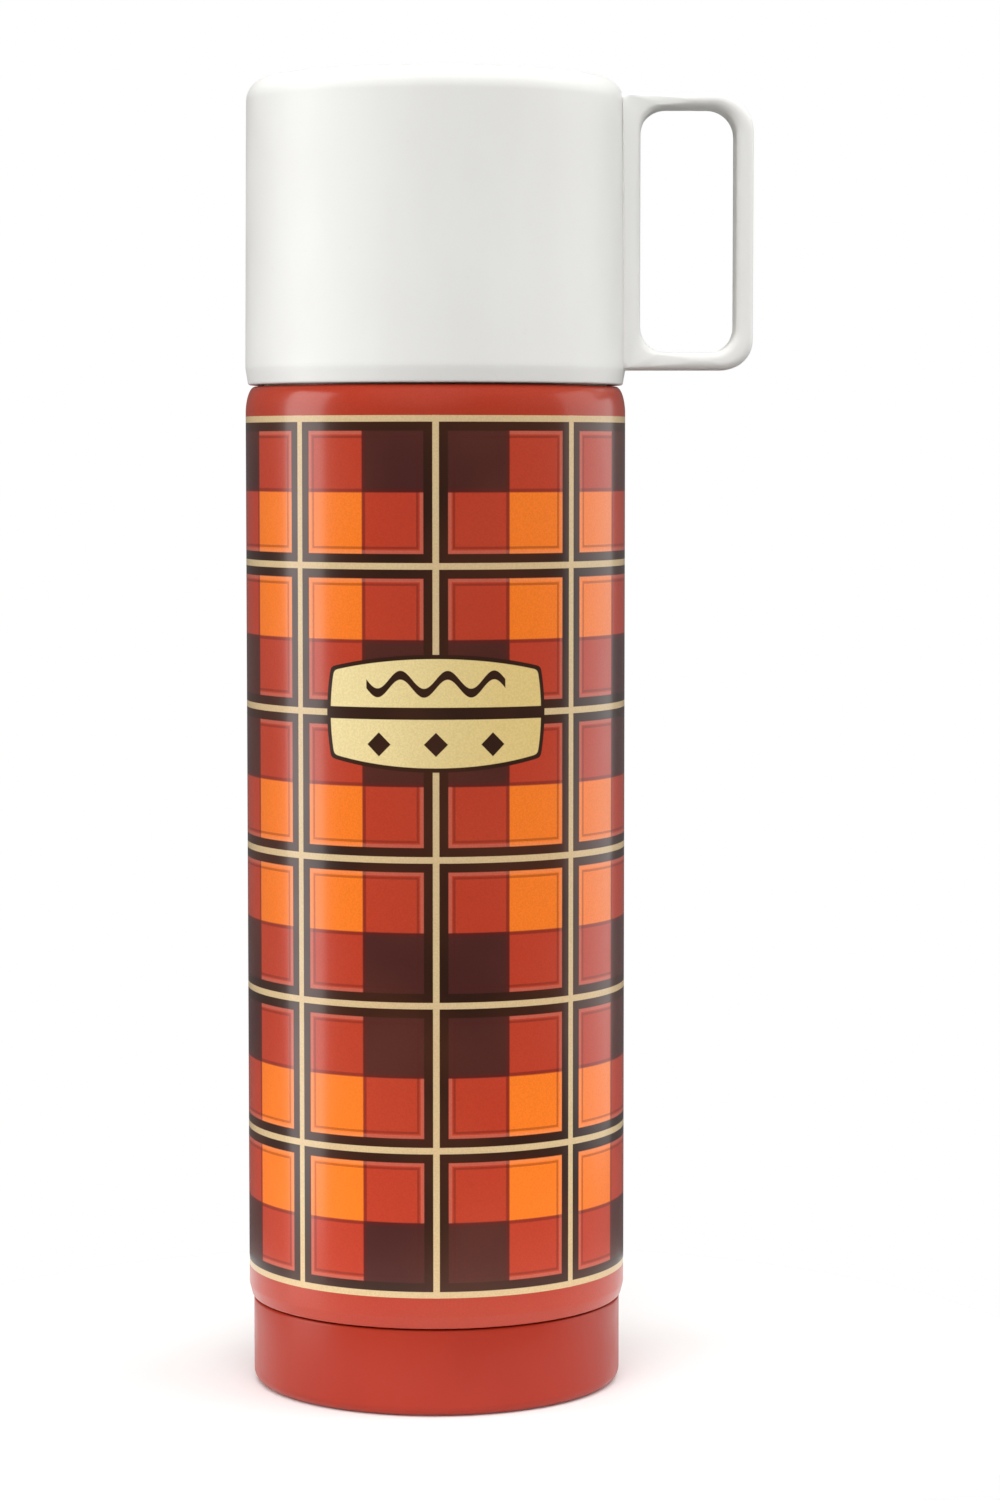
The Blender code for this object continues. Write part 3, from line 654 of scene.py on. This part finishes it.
def build_stopper(red, foam_finish):
    """The threaded tube with its narrower plug, its fluted lid, and the foam inside."""
    wall_r, plug_r, shoulder, rim, top = 20.4, 16.6, 197.0, 211.8, 221.5
    groove = 5.0 / 2 / wall_r  # half of a pour groove's width, as an angle
    groove_depth = 0.95
    ridges = threaded(wall_r, STOPPER_THREAD, mating=True)

    def grooved(angle, radius, z):
        if radius < wall_r - 0.05 or not 195.5 < z < 211.5:
            return radius
        off = min(abs(angle - math.pi / 2), abs(angle - 3 * math.pi / 2))
        cut = smoothstep((groove - off) / 0.02)
        return ridges(angle, radius, z) * (1 - cut) + (wall_r - groove_depth) * cut

    inside_wall = [(0, 185.6), (14.9, 185.6, 0.8), (14.9, 197.8, 0.5), (18.6, 198.6, 0.5), (18.6, rim)]
    outside_wall = [(wall_r, rim, 0.4), (wall_r, shoulder, 0.5), (plug_r, shoulder, 0.3)]
    end = [(plug_r, 184.0, 1.2), (9.0, 184.0, 0.4), (8.4, 184.6, 0.4), (0, 184.6)]
    shell = lathe("stopper_tube", inside_wall + outside_wall + end, False, (196.8, 212), grooved, 360)
    place(shell, red, "stopper", "red_plastic", "stopper_shell")

    crown = [(0, top - 0.5), (11.0, top - 0.5, 0.4), (11.8, top, 0.4), (18.4, top, 2.0)]
    crown += [(22.2, top - 1.1, 1.6)]
    under = [(LID_R, 217.8, 2.0), (LID_R, 213.9, 0.5), (wall_r, 213.9, 0.3), (wall_r, rim + 0.3, 0.3)]
    socket = [(18.3, rim + 0.3), (18.3, 209.0, 0.4), (16.6, 209.0, 0.4), (16.6, 218.2, 0.8)]
    socket += [(15.4, 219.2, 0.5), (0, 219.2)]
    lid = lathe("stopper_grip", crown + under + socket, False, (214.8, 221.6), fluted, 360)
    place(lid, red, "stopper", "red_plastic", "stopper_lid")
    core = [(0, 217.6), (16.2, 217.6, 0.8), (16.2, 199.4, 0.6), (14.5, 198.0, 0.6)]
    core += [(14.5, 186.0, 0.8), (0, 186.0)]
    place(lathe("foam_core", core, False), foam_finish, "stopper_core", "white_foam", "stopper_insulation")


# --- The cup and its handle -----------------------------------------------------------------------

CUP_WALL = 1.8
HANDLE_HALF = 6.0  # half of the handle's depth
HANDLE_EDGE = 1.7  # the fillet along its edges
HANDLE_SPAN = (36.2, HANDLE_OUT, 201.3, 255.1)  # its left, right, bottom and top
FINGER_GAP = (40.2, 59.0, 204.7, 252.5)
ROOT_FLARE = 1.5  # how much each side of the handle widens where it meets the cup
ROOT_REACH = 3.4
QUARTER_STEPS = 6  # round each corner of the handle's section


def loop_path(left, right, bottom, top, low_r, high_r, steps=10):
    """A rounded rectangle in (x, z) as matched points: the corners and the straights between them."""
    points = []
    corners = (
        (right - low_r[1], bottom + low_r[1], low_r[1], 270),
        (right - high_r[1], top - high_r[1], high_r[1], 0),
        (left + high_r[0], top - high_r[0], high_r[0], 90),
        (left + low_r[0], bottom + low_r[0], low_r[0], 180),
    )
    for x, z, radius, start in corners:
        for k in range(steps + 1):
            angle = math.radians(start + 90 * k / steps)
            points.append(Vector((x + radius * math.cos(angle), z + radius * math.sin(angle))))
    return points


def handle_ring(bm, out, back):
    """One section through the handle, a rounded rectangle between its outer and its inner line."""
    across = out - back
    width = across.length
    across.normalize()
    middle = (out + back) / 2
    edge = min(HANDLE_EDGE, width / 2 - 0.05)
    ring = []
    for quarter in range(4):
        side = 1 if quarter in (0, 3) else -1
        face = 1 if quarter in (0, 1) else -1
        for k in range(QUARTER_STEPS + 1):
            angle = math.radians(90 * quarter + 90 / QUARTER_STEPS * k)
            reach = side * (width / 2 - edge) + math.cos(angle) * edge
            depth = face * (HANDLE_HALF - edge) + math.sin(angle) * edge
            spot = middle + across * reach
            flare = ROOT_FLARE * max(0.0, 1 - (spot.x - CUP_R + 0.8) / ROOT_REACH) ** 2
            depth *= 1 + min(flare, ROOT_FLARE) / HANDLE_HALF
            ring.append(bm.verts.new((spot.x * MM, depth * MM, spot.y * MM)))
    return ring


def handle_loop():
    """The loop handle: a rounded bar that runs round the finger gap and into the cup's wall."""
    outer = loop_path(*HANDLE_SPAN, (0.4, 5.8), (0.4, 7.4))
    inner = loop_path(*FINGER_GAP, (5.0, 5.0), (5.4, 5.4))
    bm = bmesh.new()
    rings = []
    for out, next_out, back, next_back in zip(outer, outer[1:] + outer[:1], inner, inner[1:] + inner[:1]):
        cuts = 8 if (next_out - out).length > 4 else 1
        for i in range(cuts):
            rings.append(handle_ring(bm, out.lerp(next_out, i / cuts), back.lerp(next_back, i / cuts)))
    for first, second in zip(rings, rings[1:] + rings[:1]):
        for k in range(len(first)):
            n = (k + 1) % len(first)
            bm.faces.new((first[k], first[n], second[n], second[k]))
    return finished("handle_loop", bm)


def build_liner(white):
    """The cup's inner wall, with a flange that closes the gap between the two walls."""
    liner_r, thick, low, high = 34.0, 1.4, 211.9, 254.9
    flange_r = CUP_R - CUP_WALL - 0.4
    outside_wall = [(0, high), (liner_r, high, 2.6), (liner_r, 214.6, 0.8), (flange_r, 213.6, 0.3)]
    rim = [(flange_r, low, 0.3), (liner_r - thick, low, 1.0)]
    inside_wall = [(liner_r - thick, high - thick, 1.4), (0, high - thick)]
    liner = lathe("cup_inner_wall", outside_wall + rim + inside_wall, False)
    place(liner, white, "cup_inner", "white_plastic", "cup_liner")


def build_cup(white):
    """The moulded cup: shallow foot on top, rounded corner, loop handle, and a thread inside its rim."""
    bore_r, corner = 35.5, 4.3
    foot = [(0, CUP_TOP - 0.9), (27.6, CUP_TOP - 0.9, 0.8), (28.4, CUP_TOP, 0.6)]
    draft = 0.4  # the cup is this much narrower at its closed end
    outside = [(CUP_R - draft, CUP_TOP, corner), (CUP_R, CUP_RIM + 3.2, 6.0), (CUP_R - 0.55, CUP_RIM, 0.45)]
    mouth = [(bore_r, CUP_RIM, 0.4), (bore_r, 210.4, 0.3), (CUP_R - CUP_WALL, 211.0, 0.2)]
    inside_top = [(CUP_R - CUP_WALL, CUP_TOP - 2.4, corner - 1.0), (0, CUP_TOP - 2.4)]
    ridges = threaded(bore_r, CUP_THREAD, inward=True, mating=True)
    shell = lathe("cup", foot + outside + mouth + inside_top, False, (199.5, 211.5), ridges)
    handle = handle_loop()
    union = shell.modifiers.new("Handle", "BOOLEAN")
    union.operation = "UNION"
    union.object = handle
    union.solver = "EXACT"
    evaluated = shell.evaluated_get(bpy.context.evaluated_depsgraph_get())
    joined = bpy.data.meshes.new_from_object(evaluated)
    shell.modifiers.clear()
    shell.data = joined
    bpy.data.objects.remove(handle)
    joined.set_sharp_from_angle(angle=math.radians(32))
    place(shell, white, "cup", "white_plastic", "cup_shell")


# --- Studio ---------------------------------------------------------------------------------------

FILL_LIGHT = 0.14  # how bright the white world is as a lamp
BACKDROP_LIGHT = 1.0  # and how bright it is as the background
LAMP_DISTANCE = 0.9  # metres
LAMP_TARGET = Vector((0, 0, 0.13))  # the middle of the flask
SKY_SPREAD = 62  # degrees across each skylight
FLOOR_R = 0.13  # metres, so small that the case hardly mirrors it
FLOOR_SIDES = 96

CAMERA_SPOT = (0.0, -0.7895, 0.185)
CAMERA_TURN = (85.727, 0.0, -0.925)  # degrees
CAMERA_LENS, CAMERA_SENSOR = 95.455, 36.0  # millimetres


def build_floor():
    """A small pale disc under the flask."""
    bm = bmesh.new()
    rim = []
    for i in range(FLOOR_SIDES):
        angle = math.tau * i / FLOOR_SIDES
        rim.append(bm.verts.new((FLOOR_R * math.cos(angle), FLOOR_R * math.sin(angle), 0)))
    bm.faces.new(rim)
    floor = finished("floor", bm)
    finish = Finish("studio_floor", Roughness=0.7)
    patches = finish.ramp(finish.noise(120, 3), 0.3, 0.7)
    tone = finish.mix(patches, linear(248, 248, 247), linear(250, 250, 249))
    floor.data.materials.append(finish.use(Base_Color=tone))


def softbox(name, azimuth, elevation, size, power):
    """A rectangular lamp that faces the middle of the flask. Azimuth 0 is at the camera."""
    data = bpy.data.lights.new(name, "AREA")
    data.shape = "RECTANGLE"
    data.size, data.size_y = size
    data.energy = power
    lamp = bpy.data.objects.new(name, data)
    bpy.context.scene.collection.objects.link(lamp)
    turn, tilt = math.radians(azimuth), math.radians(elevation)
    level = math.cos(tilt)
    away = Vector((math.sin(turn) * level, -math.cos(turn) * level, math.sin(tilt)))
    lamp.location = LAMP_TARGET + away * LAMP_DISTANCE
    lamp.rotation_euler = (-away).to_track_quat("-Z", "Y").to_euler()


def skylight(name, azimuth, elevation, strength):
    """Even soft light from far away, which reaches all of the floor alike and leaves no highlight."""
    data = bpy.data.lights.new(name, "SUN")
    data.energy = strength
    data.angle = math.radians(SKY_SPREAD)
    lamp = bpy.data.objects.new(name, data)
    lamp.visible_glossy = False
    bpy.context.scene.collection.objects.link(lamp)
    lamp.rotation_euler = (math.radians(90 - elevation), 0, math.radians(azimuth))


def build_studio():
    """A white backdrop that gives little light itself, two softboxes, three skylights and the floor."""
    scene = bpy.context.scene
    world = bpy.data.worlds.new("studio")
    world.use_nodes = True
    nodes, links = world.node_tree.nodes, world.node_tree.links
    backdrop = nodes["Background"]
    backdrop.inputs["Color"].default_value = (1.0, 1.0, 1.0, 1.0)
    seen = nodes.new("ShaderNodeMapRange")
    seen.inputs["To Min"].default_value = FILL_LIGHT
    seen.inputs["To Max"].default_value = BACKDROP_LIGHT
    links.new(nodes.new("ShaderNodeLightPath").outputs["Is Camera Ray"], seen.inputs["Value"])
    links.new(seen.outputs[0], backdrop.inputs["Strength"])
    scene.world = world
    scene.view_settings.view_transform = "Standard"
    softbox("key", -85, 8, (0.50, 0.9), 4.8)
    softbox("rim", 108, 8, (0.85, 0.8), 3.0)
    skylight("overhead", 0, 90, 1.5)
    skylight("front", -8, 38, 2.2)
    skylight("side", 75, 35, 1.0)
    build_floor()


def build_camera():
    """The camera, a little above the middle of the flask and square to its label."""
    data = bpy.data.cameras.new("photo_view")
    data.sensor_width = CAMERA_SENSOR
    data.lens = CAMERA_LENS
    camera = bpy.data.objects.new("photo_view", data)
    bpy.context.scene.collection.objects.link(camera)
    camera.location = CAMERA_SPOT
    camera.rotation_euler = [math.radians(turn) for turn in CAMERA_TURN]
    bpy.context.scene.camera = camera


def main():
    """Makes the finishes, then the pieces from the case to the cup, then the camera and the studio."""
    plaid_finish = printed_steel("plaid_litho_steel")
    red = moulded("red_plastic", (162, 45, 25), (154, 41, 22), 0.3, Specular_IOR_Level=0.3)
    white = moulded("white_plastic", (240, 240, 237), (236, 235, 231), 0.36, Specular_IOR_Level=0.3)
    ivory = moulded("ivory_plastic", (226, 216, 190), (216, 202, 170), 0.34)
    steel = plated("plated_steel_ring")
    mirror = silvered("silvered_glass_wall")
    black = rubber("black_rubber_moulded", (26, 26, 27))
    grey = rubber("grey_rubber_moulded", (104, 104, 100))
    beads = foam("white_bead_foam")
    mat = fibre("mineral_fibre_mat")
    build_case(plaid_finish)
    build_base_ring(steel)
    build_base(red)
    build_cushion(black)
    build_glass(mirror)
    build_pads(mat)
    build_filler_seats(black, beads)
    build_collar(ivory)
    build_ring_seals(grey, black)
    build_stopper(red, beads)
    build_cup(white)
    build_liner(white)
    build_camera()
    build_studio()


main()
